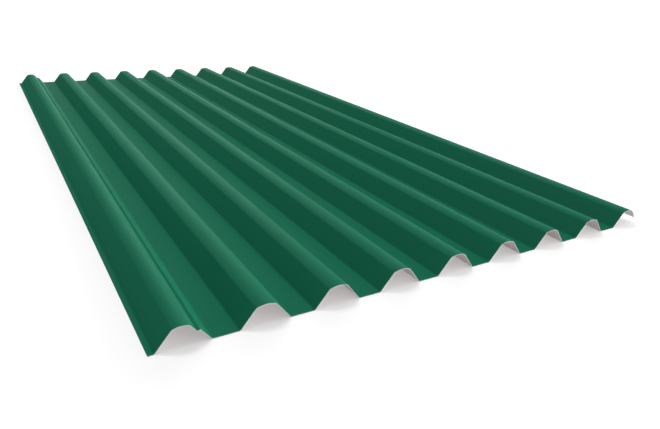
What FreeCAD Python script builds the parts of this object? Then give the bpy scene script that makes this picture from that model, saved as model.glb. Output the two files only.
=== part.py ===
import FreeCAD, Part
import math
import os

from FreeCAD import Vector

# A box profile roofing sheet: one sheet of coated steel, roll-formed into nine ribs with flat
# valleys between them. The first rib is the underlap rib, with a groove in its side that keeps
# rain from creeping through the side lap, and a flat lip. The last rib is the overlap rib, with
# a free leg that closes over the first rib of the next sheet.
#
# All sizes are in millimetres. X runs across the ribs, Y along them and Z up. The section is
# drawn on the painted face, where the valleys lie at height 0, and the steel lies under it.
# Feet and shoulders are the corners of the section before they are rounded.

# The whole sheet
SHEET_LENGTH = 2000.0
RIB_COUNT = 9
RIB_PITCH = 125.0
STEEL_THICKNESS = 0.7

# Every rib
SHOULDER_HEIGHT = 31.0
SLOPE_RUN = 25.0
CROWN_WIDTH = 33.0
CROWN_CAMBER = 3.0
SHOULDER_BEND = 6.0
FOOT_BEND = 4.0

# The underlap rib: its crown is narrower, and its side has a groove over a ledge
LIP_WIDTH = 9.0
UNDERLAP_SET_IN = 6.0
LEDGE_DROP = 10.6
LEDGE_WIDTH = 5.4
GROOVE_DEPTH = 0.9
TIGHTEST_BEND = 0.8
LAP_CLEARANCE = 0.3

# The overlap rib: how far its free leg reaches down below the shoulder
LEG_DROP = 18.0

# Points of the section that come closer than this are one point
SAME_POINT = 0.001


def at(x, z):
    return Vector(x, 0, z)


def towards(start, end):
    return (end - start).normalize()


def bend(before, corner, after, radius):
    """Arc that rounds a corner of the section: its start, its middle and its end."""
    back = towards(corner, before)
    ahead = towards(corner, after)
    half_angle = back.getAngle(ahead) / 2
    reach = radius / math.tan(half_angle)
    centre = corner + (back + ahead).normalize() * (radius / math.sin(half_angle))
    middle = centre + towards(centre, corner) * radius
    return corner + back * reach, middle, corner + ahead * reach


def shoulder_bend(below, shoulder, crown_centre, crown_radius):
    """Arc from the slope that rises to a shoulder into the arc of the crown, tangent to both."""
    up = towards(below, shoulder)
    inward = Vector(up.z, 0, -up.x)
    if inward.dot(crown_centre - shoulder) < 0:
        inward = -inward
    # The centre of the bend lies on a line beside the slope, and on a circle inside the crown's
    beside = shoulder + inward * SHOULDER_BEND - crown_centre
    rise = beside.dot(up)
    miss = beside.dot(beside) - rise ** 2
    along = math.sqrt((crown_radius - SHOULDER_BEND) ** 2 - miss) - rise
    centre = shoulder + inward * SHOULDER_BEND + up * along
    on_slope = centre - inward * SHOULDER_BEND
    on_crown = crown_centre + towards(crown_centre, centre) * crown_radius
    middle = centre + towards(centre, (on_slope + on_crown) / 2) * SHOULDER_BEND
    return on_slope, middle, on_crown


def crown(left_below, left, right, right_below):
    """Three arcs over a rib: the left shoulder, the cambered crown and the right shoulder."""
    half_width = (right.x - left.x) / 2
    radius = (half_width ** 2 + CROWN_CAMBER ** 2) / (2 * CROWN_CAMBER)
    top = (left + right) / 2 + at(0, CROWN_CAMBER)
    centre = top - at(0, radius)
    left_bend = shoulder_bend(left_below, left, centre, radius)
    right_bend = shoulder_bend(right_below, right, centre, radius)
    return [
        left_bend,
        (left_bend[2], top, right_bend[2]),
        (right_bend[2], right_bend[1], right_bend[0]),
    ]


def rib_corners(start):
    """Left foot, left shoulder, right shoulder and right foot of the rib that starts at X."""
    left_foot = at(start, 0)
    left_shoulder = left_foot + at(SLOPE_RUN, SHOULDER_HEIGHT)
    right_shoulder = left_shoulder + at(CROWN_WIDTH, 0)
    right_foot = right_shoulder + at(SLOPE_RUN, -SHOULDER_HEIGHT)
    return left_foot, left_shoulder, right_shoulder, right_foot


def left_foot_bend(foot, above):
    return bend(foot - at(1, 0), foot, above, FOOT_BEND)


def right_foot_bend(above, foot):
    return bend(above, foot, foot + at(1, 0), FOOT_BEND)


def regular_rib(start):
    left_foot, left, right, right_foot = rib_corners(start)
    return [
        left_foot_bend(left_foot, left),
        *crown(left_foot, left, right, right_foot),
        right_foot_bend(right, right_foot),
    ]


def underlap_rib(start):
    """The first rib. Its side stays inside that of a regular rib, so that the next sheet fits."""
    left_foot, left, regular_right, regular_foot = rib_corners(start)
    right = regular_right - at(UNDERLAP_SET_IN, 0)
    down = towards(regular_right, regular_foot)
    set_in = at(LAP_CLEARANCE / -down.z, 0)
    ledge = regular_right - set_in + down * (LEDGE_DROP / -down.z)
    groove = ledge - at(LEDGE_WIDTH, GROOVE_DEPTH)
    right_foot = regular_foot - set_in
    return [
        left_foot_bend(left_foot, left),
        *crown(left_foot, left, right, groove),
        bend(right, groove, ledge, TIGHTEST_BEND),
        bend(groove, ledge, right_foot, TIGHTEST_BEND + STEEL_THICKNESS),
        right_foot_bend(ledge, right_foot),
    ]


def overlap_rib(start):
    """The last rib, as its arcs and the end of its free leg."""
    left_foot, left, right, right_foot = rib_corners(start)
    down = towards(right, right_foot)
    leg_end = right + down * (LEG_DROP / -down.z)
    return [left_foot_bend(left_foot, left), *crown(left_foot, left, right, right_foot)], leg_end


def painted_line():
    """The section of the painted face, from the edge of the lip to the end of the free leg."""
    arcs = underlap_rib(0)
    for rib in range(1, RIB_COUNT - 1):
        arcs += regular_rib(rib * RIB_PITCH)
    last_arcs, leg_end = overlap_rib((RIB_COUNT - 1) * RIB_PITCH)
    arcs += last_arcs

    edges = []
    here = at(-LIP_WIDTH, 0)
    for start, middle, end in arcs:
        if here.distanceToPoint(start) > SAME_POINT:
            edges.append(Part.LineSegment(here, start).toShape())
        edges.append(Part.Arc(start, middle, end).toShape())
        here = end
    edges.append(Part.LineSegment(here, leg_end).toShape())
    return Part.Wire(edges)


def roofing_sheet():
    """The section as a strip of steel, drawn out to the length of the sheet."""
    strip = painted_line().makeOffset2D(-STEEL_THICKNESS, fill=True, openResult=True)
    sheet = strip.extrude(Vector(0, SHEET_LENGTH, 0))
    box = sheet.BoundBox
    sheet.translate(Vector(-box.Center.x, -box.Center.y, -box.ZMin))
    return sheet


os.makedirs("parts", exist_ok=True)
roofing_sheet().exportStep("parts/roofing_sheet.step")
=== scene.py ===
# %% [markdown]
# # A box profile roofing sheet
#
# The real thing is one sheet of steel, 0.7 mm thick, that a row of rollers has bent into nine
# ribs with flat valleys between them. One face has a green topcoat and the other a pale grey
# back coat. Both went on while the steel was still a flat coil, so the paint follows every bend
# and the cut ends show bare metal.
#
# The construction is already there as a fixed frame, with its true sizes. We load it first and
# read the box that the sheet fills, because everything here has to stay inside that box.

# %% Load the frame
import math

import bmesh
import bpy
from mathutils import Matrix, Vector


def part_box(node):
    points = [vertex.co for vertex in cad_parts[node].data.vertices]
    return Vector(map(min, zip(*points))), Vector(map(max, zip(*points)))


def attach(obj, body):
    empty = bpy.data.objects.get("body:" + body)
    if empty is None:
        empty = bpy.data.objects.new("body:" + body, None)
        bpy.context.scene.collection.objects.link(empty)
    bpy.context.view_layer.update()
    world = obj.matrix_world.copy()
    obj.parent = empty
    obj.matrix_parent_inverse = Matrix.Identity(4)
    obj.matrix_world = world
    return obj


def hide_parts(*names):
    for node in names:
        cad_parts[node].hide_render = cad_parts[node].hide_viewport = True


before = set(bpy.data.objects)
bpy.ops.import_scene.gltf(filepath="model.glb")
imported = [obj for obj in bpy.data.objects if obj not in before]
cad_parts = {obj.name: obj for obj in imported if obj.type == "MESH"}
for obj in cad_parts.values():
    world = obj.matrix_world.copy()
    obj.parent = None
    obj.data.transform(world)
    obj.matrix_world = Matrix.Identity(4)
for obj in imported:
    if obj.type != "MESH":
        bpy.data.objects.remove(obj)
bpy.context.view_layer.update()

lowest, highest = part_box("roofing_sheet")
print("The frame's sheet reaches from", tuple(lowest), "to", tuple(highest))

# %% [markdown]
# ## The line of the section
#
# The frame's own mesh shows each bend as one or two flats, which is enough for a check but not
# for a glossy coat: paint shows every facet as a hard line. So we roll the sheet again, finer.
#
# A roll-formed sheet is the same section from end to end. We therefore need only its line, and
# that needs only the corners that a drawing would give: feet on the floor and shoulders up on
# the ribs. `MM` lets us write them in millimetres, as a drawing does.

# %% Sizes of the section
MM = 0.001

STEEL_THICKNESS = 0.7
RIB_COUNT = 9
RIB_PITCH = 125.0
SHOULDER_HEIGHT = 31.0
SLOPE_RUN = 25.0
CROWN_WIDTH = 33.0
CROWN_CAMBER = 3.0

LIP_WIDTH = 9.0
UNDERLAP_SET_IN = 6.0
LEDGE_DROP = 10.6
LEDGE_WIDTH = 5.4
GROOVE_DEPTH = 0.9
LAP_CLEARANCE = 0.3
LEG_DROP = 18.0

first_foot_x = lowest[0] + LIP_WIDTH * MM
near_end_y = lowest[1]
sheet_length = highest[1] - lowest[1]
painted_z = lowest[2] + STEEL_THICKNESS * MM
print("The sheet is", round(sheet_length, 3), "m long")

# %% [markdown]
# A rib's crown isn't flat: rollers leave it slightly cambered, which stiffens it and runs the
# rain off. That arc could be typed in as points, but `spin` makes it from one vertex: it turns
# a copy of the vertex about a centre in equal steps. From the width of an arc and its rise,
# the radius follows by Pythagoras.

# %% A helper for corners, and one for crowns
CROWN_STEPS = 12


def corner(bm, x, z, before=None):
    """One corner of the section, in millimetres from the first foot, joined to the one before."""
    vertex = bm.verts.new((first_foot_x + x * MM, near_end_y, painted_z + z * MM))
    if before:
        bm.edges.new((before, vertex))
    return vertex


def crown(bm, left_shoulder, width):
    """The cambered arc over a rib. It starts at the left shoulder and returns the right one."""
    radius = (width ** 2 / 4 + CROWN_CAMBER ** 2) / (2 * CROWN_CAMBER)
    turn = 2 * math.asin(width / 2 / radius)
    centre = left_shoulder.co + Vector((width / 2, 0, CROWN_CAMBER - radius)) * MM
    arc = bmesh.ops.spin(bm, geom=[left_shoulder], cent=centre, axis=(0, 1, 0), angle=turn,
                         steps=CROWN_STEPS, use_duplicate=False)
    return arc["geom_last"][0]


# %% [markdown]
# ## Seven ribs alike
#
# One regular rib and the valley after it fill one pitch. We draw that once, duplicate it six
# times, and let `remove_doubles` weld each copy to the next at the foot that they share.

# %% The regular ribs
section = bmesh.new()

foot = corner(section, RIB_PITCH, 0)
shoulder = corner(section, RIB_PITCH + SLOPE_RUN, SHOULDER_HEIGHT, before=foot)
shoulder = crown(section, shoulder, CROWN_WIDTH)
foot = corner(section, RIB_PITCH + 2 * SLOPE_RUN + CROWN_WIDTH, 0, before=shoulder)
corner(section, 2 * RIB_PITCH, 0, before=foot)

one_rib = section.verts[:] + section.edges[:]
for rib in range(1, RIB_COUNT - 2):
    copy = bmesh.ops.duplicate(section, geom=one_rib)["geom"]
    moved = [item for item in copy if isinstance(item, bmesh.types.BMVert)]
    bmesh.ops.translate(section, verts=moved, vec=(rib * RIB_PITCH * MM, 0, 0))
print("The regular ribs have", len(section.verts), "points so far")

# %% [markdown]
# ## The two edges that lap
#
# On a roof the last rib of one sheet lies over the first rib of the next. The first rib, the
# underlap, is therefore narrower, and its right side steps in over a groove. Rain that creeps
# into the lap finds the gap widening there and stops. Left of it lies a short flat lip. The
# last rib, the overlap, has no foot: its right side is a free leg that ends in the air.

# %% The underlap rib and the overlap rib
slope = SHOULDER_HEIGHT / SLOPE_RUN
slope_length = math.hypot(SLOPE_RUN, SHOULDER_HEIGHT)
regular_shoulder = SLOPE_RUN + CROWN_WIDTH
set_in = LAP_CLEARANCE * slope_length / SHOULDER_HEIGHT
ledge_x = regular_shoulder - set_in + LEDGE_DROP / slope
ledge_z = SHOULDER_HEIGHT - LEDGE_DROP

lip_edge = corner(section, -LIP_WIDTH, 0)
foot = corner(section, 0, 0, before=lip_edge)
shoulder = corner(section, SLOPE_RUN, SHOULDER_HEIGHT, before=foot)
shoulder = crown(section, shoulder, CROWN_WIDTH - UNDERLAP_SET_IN)
groove = corner(section, ledge_x - LEDGE_WIDTH, ledge_z - GROOVE_DEPTH, before=shoulder)
ledge = corner(section, ledge_x, ledge_z, before=groove)
foot = corner(section, regular_shoulder + SLOPE_RUN - set_in, 0, before=ledge)
corner(section, RIB_PITCH, 0, before=foot)

last = (RIB_COUNT - 1) * RIB_PITCH
foot = corner(section, last, 0)
shoulder = corner(section, last + SLOPE_RUN, SHOULDER_HEIGHT, before=foot)
shoulder = crown(section, shoulder, CROWN_WIDTH)
corner(section, last + regular_shoulder + LEG_DROP / slope, SHOULDER_HEIGHT - LEG_DROP,
       before=shoulder)

SAME_POINT = 0.01
bmesh.ops.remove_doubles(section, verts=section.verts, dist=SAME_POINT * MM)
print("The whole line has", len(section.verts), "points and", len(section.edges), "edges")

# %% [markdown]
# ## Bends
#
# Steel can't fold to a sharp corner: it takes the radius of the roller. Bevelling a vertex of a
# line replaces it by an arc. The operator asks how far back along each edge the arc starts,
# which for a bend of radius r that turns by an angle a is r tan(a / 2).
#
# The corners are told apart by height: shoulders are up on the ribs, feet are on the floor, and
# the groove and its ledge are in between. The points of a crown's arc turn by only a few
# degrees, so the turn tells them from corners.

# %% Round every bend
SHOULDER_BEND = 6.0
FOOT_BEND = 4.0
TIGHTEST_BEND = 0.8
LEAST_TURN = math.radians(10)
BEND_STEPS = 8


def bend_radius(height, turns_up):
    """Radius of the painted face at a bend, by its height over the valleys in millimetres."""
    if height > SHOULDER_HEIGHT - 1:
        return SHOULDER_BEND
    if height < 1:
        return FOOT_BEND
    return TIGHTEST_BEND if turns_up else TIGHTEST_BEND + STEEL_THICKNESS


corners = [v for v in section.verts if len(v.link_edges) == 2 and v.calc_edge_angle() > LEAST_TURN]
for vertex in corners:
    ends = [edge.other_vert(vertex).co for edge in vertex.link_edges]
    turns_up = (ends[0].z + ends[1].z) / 2 > vertex.co.z
    radius = bend_radius((vertex.co.z - painted_z) / MM, turns_up)
    reach = radius * math.tan(vertex.calc_edge_angle() / 2)
    bmesh.ops.bevel(section, geom=[vertex], offset=reach * MM, offset_type="OFFSET",
                    segments=BEND_STEPS, profile=0.5, affect="VERTICES", material=-1)
print("Rounded", len(corners), "bends")

# %% [markdown]
# ## From a line to a sheet
#
# Extruding the line's edges along Y gives the painted face. Its normals have to point up, out of
# the paint, because the Solidify modifier then grows the steel downwards from it.

# %% Draw the line out to the length of the sheet
drawn = bmesh.ops.extrude_edge_only(section, edges=section.edges[:])["geom"]
far_points = [item for item in drawn if isinstance(item, bmesh.types.BMVert)]
bmesh.ops.translate(section, verts=far_points, vec=(0, sheet_length, 0))
section.normal_update()
bmesh.ops.reverse_faces(section, faces=[face for face in section.faces if face.normal.z < 0])
for face in section.faces:
    face.smooth = True

sheet_mesh = bpy.data.meshes.new("coated_sheet")
section.to_mesh(sheet_mesh)
section.free()
sheet = bpy.data.objects.new("coated_sheet", sheet_mesh)
bpy.context.scene.collection.objects.link(sheet)
print("The painted face has", len(sheet_mesh.polygons), "faces")

# %% [markdown]
# ## From paint to steel
#
# What we have is only the painted face, a surface with no thickness. The steel could be built by
# offsetting every point by hand, but the Solidify modifier does that for any surface. An offset
# of -1 keeps our face where it is and puts the whole thickness below it. Its even offset matters
# here: without it the slopes would come out thinner than the valleys.
#
# A shear cut the sheet to length, and a shear leaves a slightly rolled edge that catches the
# light. The Bevel modifier takes off only edges sharper than its angle limit, so it finds the
# cut edges and leaves the bends alone. Weighted normals then keep the broad flats flat.
#
# The painted face takes the first material slot. Solidify can hand the new faces to the slots
# after it: one further for the underside, and two further for the rim.

# %% Give it its thickness
BACK_COAT, CUT_EDGE = 1, 2
ROLLED_EDGE = 0.11
SHARPER_THAN_A_BEND = math.radians(55)

steel = sheet.modifiers.new("steel_thickness", "SOLIDIFY")
steel.thickness = STEEL_THICKNESS * MM
steel.offset = -1
steel.use_even_offset = True
steel.use_quality_normals = True
steel.material_offset = BACK_COAT
steel.material_offset_rim = CUT_EDGE

rolled = sheet.modifiers.new("rolled_cut_edge", "BEVEL")
rolled.width = ROLLED_EDGE * MM
rolled.segments = 2
rolled.limit_method = "ANGLE"
rolled.angle_limit = SHARPER_THAN_A_BEND

flats = sheet.modifiers.new("flats_stay_flat", "WEIGHTED_NORMAL")
flats.keep_sharp = True
print("The steel is", steel.thickness / MM, "mm thick")

# %% [markdown]
# ## Two helpers for node trees
#
# Materials are graphs of nodes. Written out, each node takes three lines and each link one more,
# which buries the idea. `node` makes one node, sets its options, and fills its inputs with either
# a number or the output that should feed them. `node_group` opens a group and names its sockets.

# %% Helpers for nodes
def node(tree, kind, inputs=None, **options):
    """Add one shader node. Each input gets a value, or a link where an output is given."""
    made = tree.nodes.new("ShaderNode" + kind)
    for name, value in options.items():
        setattr(made, name, value)
    for name, value in (inputs or {}).items():
        if isinstance(value, bpy.types.NodeSocket):
            tree.links.new(value, made.inputs[name])
        else:
            made.inputs[name].default_value = value
    return made


def node_group(name, takes, gives):
    """Start a node group with named sockets. Returns it with its input and output nodes."""
    tree = bpy.data.node_groups.new(name, "ShaderNodeTree")
    for side, sockets in (("INPUT", takes), ("OUTPUT", gives)):
        for socket, kind in sockets.items():
            tree.interface.new_socket(socket, in_out=side, socket_type="NodeSocket" + kind)
    return tree, tree.nodes.new("NodeGroupInput").outputs, tree.nodes.new("NodeGroupOutput").inputs


def noise(tree, coordinates, scale, detail=2.0, stretch_along=1.0):
    """Noise with `scale` grains to the metre, drawn out along the sheet's length."""
    place = node(tree, "Mapping", {"Vector": coordinates, "Scale": (1, 1 / stretch_along, 1)})
    return node(tree, "TexNoise", {"Vector": place.outputs["Vector"], "Scale": scale,
                                   "Detail": detail}).outputs["Fac"]


def around(tree, value, middle, swing):
    """Turn noise, which lies about 0.5, into a value that wanders by `swing` about `middle`."""
    centred = node(tree, "Math", {0: value, 1: 0.5}, operation="SUBTRACT").outputs[0]
    return node(tree, "Math", {0: centred, 1: swing, 2: middle}, operation="MULTIPLY_ADD").outputs[0]


# %% [markdown]
# ## What a coating line leaves in paint
#
# Both coats were put on by rubber rollers and baked while the strip ran past. That leaves three
# marks, and all three are in any coil coat, whatever its colour: faint streaks along the strip,
# a slow drift in tone over a metre or so, and a fine ripple like the skin of an orange.
#
# Because two materials need the same marks, they go into one node group with inputs for how
# strong each mark is. The pattern reads Object coordinates, so it stays put on the steel. The
# streaks are plain noise that the Mapping node stretches along Y, the way the strip ran.
#
# Where the paint went on thicker it is a little darker and glossier, so one mix of streaks and
# clouds drives tone, roughness and shine alike. `Shine` is a factor about 1, for a clear film.

# %% Group: roller_coat
STREAKS_PER_METRE = 70
STREAK_LENGTH = 60
CLOUDS_PER_METRE = 3
GRAINS_PER_METRE = 600
SHARE_OF_CLOUDS = 0.45

roller_coat, takes, gives = node_group(
    "roller_coat",
    {"Paint": "Color", "Tone Drift": "Float", "Gloss": "Float", "Gloss Drift": "Float"},
    {"Color": "Color", "Roughness": "Float", "Shine": "Float", "Ripple": "Float"})
surface = node(roller_coat, "TexCoord").outputs["Object"]
streaks = noise(roller_coat, surface, STREAKS_PER_METRE, detail=3, stretch_along=STREAK_LENGTH)
clouds = noise(roller_coat, surface, CLOUDS_PER_METRE, stretch_along=2)
grain = noise(roller_coat, surface, GRAINS_PER_METRE)

mixed = node(roller_coat, "Mix", {0: SHARE_OF_CLOUDS, 2: streaks, 3: clouds},
             data_type="FLOAT").outputs[0]
tone = around(roller_coat, mixed, 1.0, takes["Tone Drift"])
tinted = node(roller_coat, "VectorMath", {0: takes["Paint"], "Scale": tone}, operation="SCALE")
roller_coat.links.new(tinted.outputs["Vector"], gives["Color"])

rougher = around(roller_coat, mixed, takes["Gloss"], takes["Gloss Drift"])
speckled = around(roller_coat, grain, rougher, 0.06)
roller_coat.links.new(speckled, gives["Roughness"])
roller_coat.links.new(around(roller_coat, mixed, 1.0, -0.5), gives["Shine"])

ripple = node(roller_coat, "Math", {0: streaks, 1: 0.35, 2: grain}, operation="MULTIPLY_ADD")
roller_coat.links.new(ripple.outputs[0], gives["Ripple"])
print("roller_coat gives", [socket.name for socket in gives if socket.name])

# %% [markdown]
# ## Where the shear bared the metal
#
# Right at a cut edge the paint is gone: the blade drags it off in a strip a tenth of a millimetre
# wide, a little ragged. A mask says where. It could be painted or kept in an attribute, but the
# sheet is centred on the frame's origin, so the distance to a cut edge is simply how near |x|
# comes to half the width, or |y| to half the length. Noise on that distance makes it ragged.

# %% Group: bared_edge
BARED_WIDTH = 0.12
RAGGED_BY = 0.1
RAGS_PER_METRE = 900
half_width = (highest[0] - lowest[0]) / 2
half_length = sheet_length / 2

bared_edge, takes, gives = node_group("bared_edge", {"Width": "Float"}, {"Mask": "Float"})
surface = node(bared_edge, "TexCoord").outputs["Object"]
axes = node(bared_edge, "SeparateXYZ", {0: surface}).outputs
past_side = node(bared_edge, "Math", {0: axes["X"]}, operation="ABSOLUTE").outputs[0]
past_side = node(bared_edge, "Math", {0: past_side, 1: half_width}, operation="SUBTRACT").outputs[0]
past_end = node(bared_edge, "Math", {0: axes["Y"]}, operation="ABSOLUTE").outputs[0]
past_end = node(bared_edge, "Math", {0: past_end, 1: half_length}, operation="SUBTRACT").outputs[0]
nearest = node(bared_edge, "Math", {0: past_side, 1: past_end}, operation="MAXIMUM").outputs[0]
rags = noise(bared_edge, surface, RAGS_PER_METRE)
ragged = around(bared_edge, rags, nearest, RAGGED_BY * MM)
inner = node(bared_edge, "Math", {0: takes["Width"], 1: -1.0}, operation="MULTIPLY").outputs[0]
outer = node(bared_edge, "Math", {0: takes["Width"], 1: -0.7}, operation="MULTIPLY").outputs[0]
mask = node(bared_edge, "MapRange", {"Value": ragged, "From Min": inner, "From Max": outer})
bared_edge.links.new(mask.outputs["Result"], gives["Mask"])

# %% [markdown]
# ## Three finishes for one sheet
#
# The topcoat is a satin green with broad, faint highlights and no mirror image. Its pigment is
# matt, and what shine it has comes from the thin clear film that rises to the top as it bakes.
# In the Principled shader that is the Coat: a low weight keeps the highlights faint, and a high
# roughness keeps them broad. Lowering Specular IOR Level instead looks right only from above,
# because it also lowers the index of refraction, and the far end of the sheet then turns white.
#
# The back coat is a thin, cheap wash: a warm light grey, matt, and more uneven. It has no such
# film, and keeps the plain specular level. The cut edge is zinc and steel.
#
# The two painted finishes differ only in numbers, so one function makes both. Each has the bared
# line at its edges, mixed in by the mask: there the paint turns into the zinc of the cut edge.

# %% Painted finishes
ZINC = (0.45, 0.455, 0.45)


def painted(name, paint, tone_drift, gloss, gloss_drift, specular, film, ripple):
    """A coil coat: `paint` in linear colour, `gloss` as roughness, `ripple` in millimetres.

    `film` is the weight of the clear film over the pigment, or 0 for none.
    """
    material = bpy.data.materials.new(name)
    material.use_nodes = True
    tree = material.node_tree
    shader = tree.nodes["Principled BSDF"]

    coat = node(tree, "Group", node_tree=roller_coat)
    coat.inputs["Paint"].default_value = (*paint, 1)
    coat.inputs["Tone Drift"].default_value = tone_drift
    coat.inputs["Gloss"].default_value = gloss
    coat.inputs["Gloss Drift"].default_value = gloss_drift
    bare = node(tree, "Group", node_tree=bared_edge)
    bare.inputs["Width"].default_value = BARED_WIDTH * MM
    bare = bare.outputs["Mask"]

    colour = node(tree, "Mix", {0: bare, 6: coat.outputs["Color"], 7: (*ZINC, 1)}, data_type="RGBA")
    tree.links.new(colour.outputs[2], shader.inputs["Base Color"])
    tree.links.new(coat.outputs["Roughness"], shader.inputs["Roughness"])
    metal = node(tree, "Math", {0: bare, 1: 0.7}, operation="MULTIPLY")
    tree.links.new(metal.outputs[0], shader.inputs["Metallic"])
    bump = node(tree, "Bump", {"Height": coat.outputs["Ripple"], "Distance": ripple * MM})
    tree.links.new(bump.outputs["Normal"], shader.inputs["Normal"])
    shader.inputs["Specular IOR Level"].default_value = specular
    if film:
        shine = node(tree, "Math", {0: coat.outputs["Shine"], 1: film}, operation="MULTIPLY")
        tree.links.new(shine.outputs[0], shader.inputs["Coat Weight"])
        shader.inputs["Coat Roughness"].default_value = gloss
    return material


green_topcoat = painted("green_topcoat", (0.0075, 0.143, 0.0785), tone_drift=0.1, gloss=0.6,
                        gloss_drift=0.12, specular=0, film=0.11, ripple=0.02)
grey_back_coat = painted("grey_back_coat", (0.62, 0.575, 0.565), tone_drift=0.16, gloss=0.62,
                         gloss_drift=0.16, specular=0.3, film=0, ripple=0.03)
print("Made", green_topcoat.name, "and", grey_back_coat.name)

# %% [markdown]
# ## The cut edge
#
# Seen close, a sheared edge has two bands: a bright one where the blade slid down the steel, and
# a dull, torn one where the rest broke away. At 0.7 mm the eye gets them as one sparkling line.
# Noise that is fine enough gives that line its sparkle, in tone and in roughness.

# %% Finish of the cut edge
TEARS_PER_METRE = 1400

cut_edge = bpy.data.materials.new("sheared_steel_edge")
cut_edge.use_nodes = True
tree = cut_edge.node_tree
shader = tree.nodes["Principled BSDF"]
surface = node(tree, "TexCoord").outputs["Object"]
torn = noise(tree, surface, TEARS_PER_METRE, detail=3)
tone = around(tree, torn, 1.0, 0.5)
tinted = node(tree, "VectorMath", {0: ZINC, "Scale": tone}, operation="SCALE")
tree.links.new(tinted.outputs["Vector"], shader.inputs["Base Color"])
tree.links.new(around(tree, torn, 0.45, 0.3), shader.inputs["Roughness"])
bump = node(tree, "Bump", {"Height": torn, "Distance": 0.05 * MM})
tree.links.new(bump.outputs["Normal"], shader.inputs["Normal"])
shader.inputs["Metallic"].default_value = 0.6

for finish in (green_topcoat, grey_back_coat, cut_edge):
    sheet_mesh.materials.append(finish)
print("The sheet's slots are", [slot.name for slot in sheet.material_slots])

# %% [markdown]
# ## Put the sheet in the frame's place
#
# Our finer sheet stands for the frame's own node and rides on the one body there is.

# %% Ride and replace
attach(sheet, "root")
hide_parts("roofing_sheet")

# %% [markdown]
# ## White that adds no light
#
# In a catalogue picture everything around the object is pure white. Adding light until it burns
# out would wash out the paint too. Light Path offers a better way: it says what kind of ray has
# arrived. The floor and the sky can then be white to the camera, and in what a gloss or a glass
# shows, while the light that they cast on the sheet stays as weak as we want it.

# %% A helper that tells who is looking
def seen_directly(tree):
    """1 for a ray from the camera, or one that a gloss or glass has sent on, and else 0."""
    path = node(tree, "LightPath").outputs
    either = node(tree, "Math", {0: path["Is Camera Ray"], 1: path["Is Glossy Ray"]},
                  operation="MAXIMUM").outputs[0]
    return node(tree, "Math", {0: either, 1: path["Is Transmission Ray"]},
                operation="MAXIMUM").outputs[0]


# %% [markdown]
# ## A floor that keeps its shadow
#
# The floor is plain pale grey, lit like the sheet, with a glow that only direct looks see. Near
# the sheet the glow just lifts that grey to white, so the shadow still shows. It grows with
# distance, because the lamps stand close and leave the far floor dim.
#
# A steady glow would fill the deepest shadow as much as the faintest. Ambient Occlusion tells how
# open a spot is, so the glow fades under the ribs and right beside the steel. That darkening is
# painted shade: a contact shadow drawn into the floor's own glow.

# %% Floor
FLOOR_HALF_WIDTH = 100
JUST_BELOW = -0.3 * MM
FLOOR_GREY = 0.8
NEAR_GLOW = 0.33
FAR_GLOW = 1.0
GLOW_GROWS_FROM = 1.6
GLOW_GROWS_TO = 3.0
PAINTED_SHADE_REACH = 0.09
PAINTED_SHADE_DEPTH = 0.8

floor_shape = bmesh.new()
bmesh.ops.create_grid(floor_shape, x_segments=1, y_segments=1, size=FLOOR_HALF_WIDTH)
bmesh.ops.translate(floor_shape, verts=floor_shape.verts, vec=(0, 0, JUST_BELOW))
floor_mesh = bpy.data.meshes.new("studio_floor")
floor_shape.to_mesh(floor_mesh)
floor_shape.free()
floor = bpy.data.objects.new("studio_floor", floor_mesh)
bpy.context.scene.collection.objects.link(floor)

white_floor = bpy.data.materials.new("white_floor")
white_floor.use_nodes = True
tree = white_floor.node_tree
shader = tree.nodes["Principled BSDF"]
shader.inputs["Base Color"].default_value = (FLOOR_GREY, FLOOR_GREY, FLOOR_GREY, 1)
shader.inputs["Roughness"].default_value = 0.9
shader.inputs["Specular IOR Level"].default_value = 0
shader.inputs["Emission Color"].default_value = (1, 1, 1, 1)

place = node(tree, "TexCoord").outputs["Object"]
distance = node(tree, "VectorMath", {0: place}, operation="LENGTH").outputs["Value"]
glow = node(tree, "MapRange", {"Value": distance, "From Min": GLOW_GROWS_FROM,
                               "From Max": GLOW_GROWS_TO, "To Min": NEAR_GLOW,
                               "To Max": FAR_GLOW}).outputs["Result"]
# Painted shade: where steel is close, the glow dims and draws a contact shadow into the floor.
openness = node(tree, "AmbientOcclusion", {"Distance": PAINTED_SHADE_REACH}, samples=16).outputs["AO"]
openness = node(tree, "Math", {0: openness, 1: PAINTED_SHADE_DEPTH}, operation="POWER").outputs[0]
glow = node(tree, "Math", {0: glow, 1: openness}, operation="MULTIPLY").outputs[0]
glow = node(tree, "Math", {0: glow, 1: seen_directly(tree)}, operation="MULTIPLY").outputs[0]
tree.links.new(glow, shader.inputs["Emission Strength"])
floor_mesh.materials.append(white_floor)
print("The floor glows", NEAR_GLOW, "near the sheet and", FAR_GLOW, "far from it")

# %% [markdown]
# ## A white sky
#
# The world lights the sheet weakly from all sides, but looks white: its strength runs from
# `WORLD_LIGHT` for the light that it casts up to 1 for a direct look.

# %% World
WORLD_LIGHT = 0.207

world = bpy.data.worlds.new("studio")
world.use_nodes = True
bpy.context.scene.world = world
tree = world.node_tree
background = tree.nodes["Background"]
background.inputs["Color"].default_value = (1, 1, 1, 1)
strength = node(tree, "Math", {0: seen_directly(tree), 1: 1 - WORLD_LIGHT, 2: WORLD_LIGHT},
                operation="MULTIPLY_ADD")
tree.links.new(strength.outputs[0], background.inputs["Strength"])
print("The world lights with", WORLD_LIGHT, "and looks like 1")

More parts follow.
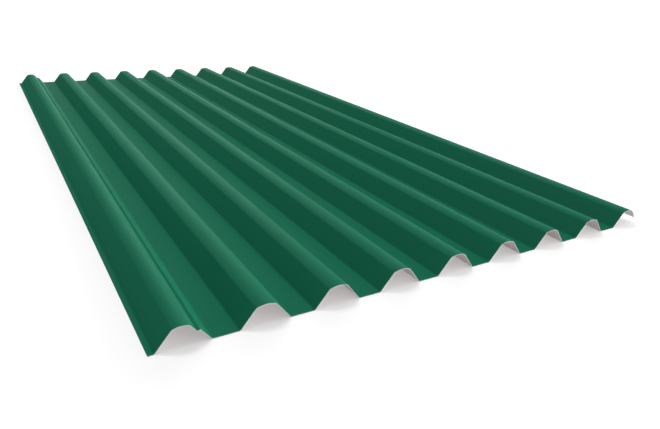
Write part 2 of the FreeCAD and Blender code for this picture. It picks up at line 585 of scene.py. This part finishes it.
# %% [markdown]
# ## Soft studio light
#
# On a folded sheet, light is what tells one face from another. The picture has every slope that
# faces right bright, and every slope that faces left dark, by the same amount on all nine ribs.
# A low lamp on the right can't do that alone: each rib would stand in the next one's light. So
# the three key lamps cast no shadow, as if each rib had a lamp of its own.
#
# The six fill lamps do cast one. Low ones at the back draw the soft white line along the crowns,
# and high ones lift the valleys and shade the floor under the ribs. All are round softboxes that
# stand on one dome about the sheet, so a compass bearing and a height place each of them.

# %% Lamps
LAMP_DISTANCE = 5.0
LAMP_WIDTH = 2.0


def soft_lamp(name, compass, height, power, shadow):
    """A round softbox that looks at the sheet. `compass` turns from +X to +Y, in degrees."""
    lamp = bpy.data.lights.new(name, "AREA")
    lamp.shape = "DISK"
    lamp.size = LAMP_WIDTH
    lamp.energy = power
    lamp.use_shadow = shadow
    holder = bpy.data.objects.new(name, lamp)
    level = math.cos(math.radians(height))
    holder.location = Vector((level * math.cos(math.radians(compass)),
                              level * math.sin(math.radians(compass)),
                              math.sin(math.radians(height)))) * LAMP_DISTANCE
    holder.rotation_euler = (-holder.location).to_track_quat("-Z", "Y").to_euler()
    holder.visible_camera = False
    bpy.context.scene.collection.objects.link(holder)


KEYS = (
    ("key_front_right", 300, 4, 146),
    ("key_front_right_raised", 300, 15, 99),
    ("key_back_right", 60, 4, 55),
)
FILLS = (
    ("back_right_low", 70, 5, 95),
    ("back_low", 85, 5, 65),
    ("right", 30, 14, 81),
    ("back_right", 60, 25, 42),
    ("high_back", 135, 68, 81),
    ("high_front", 225, 68, 27),
)
for name, compass, height, power in KEYS:
    soft_lamp(name, compass, height, power, shadow=False)
for name, compass, height, power in FILLS:
    soft_lamp(name, compass, height, power, shadow=True)
print("Lit by", len(KEYS) + len(FILLS), "softboxes")

# %% [markdown]
# ## The camera
#
# The corners of the sheet and the bends along its near edge can be found in the picture. They fix
# the camera: its place, its turn and its lens follow from where those points have to land. The
# small shift moves the frame without turning the view.

# %% Camera
camera_data = bpy.data.cameras.new("camera")
camera = bpy.data.objects.new("camera", camera_data)
camera_data.sensor_width = 36
camera_data.lens = 30.769
camera_data.shift_x = 0.02609
camera_data.shift_y = -0.00186
camera.location = (-0.67451, -1.63335, 0.48336)
camera.rotation_euler = (math.radians(66.764), math.radians(-2.722), math.radians(-29.762))
camera_data.clip_end = 400
bpy.context.scene.collection.objects.link(camera)
bpy.context.scene.camera = camera
bpy.context.scene.view_settings.view_transform = "Standard"
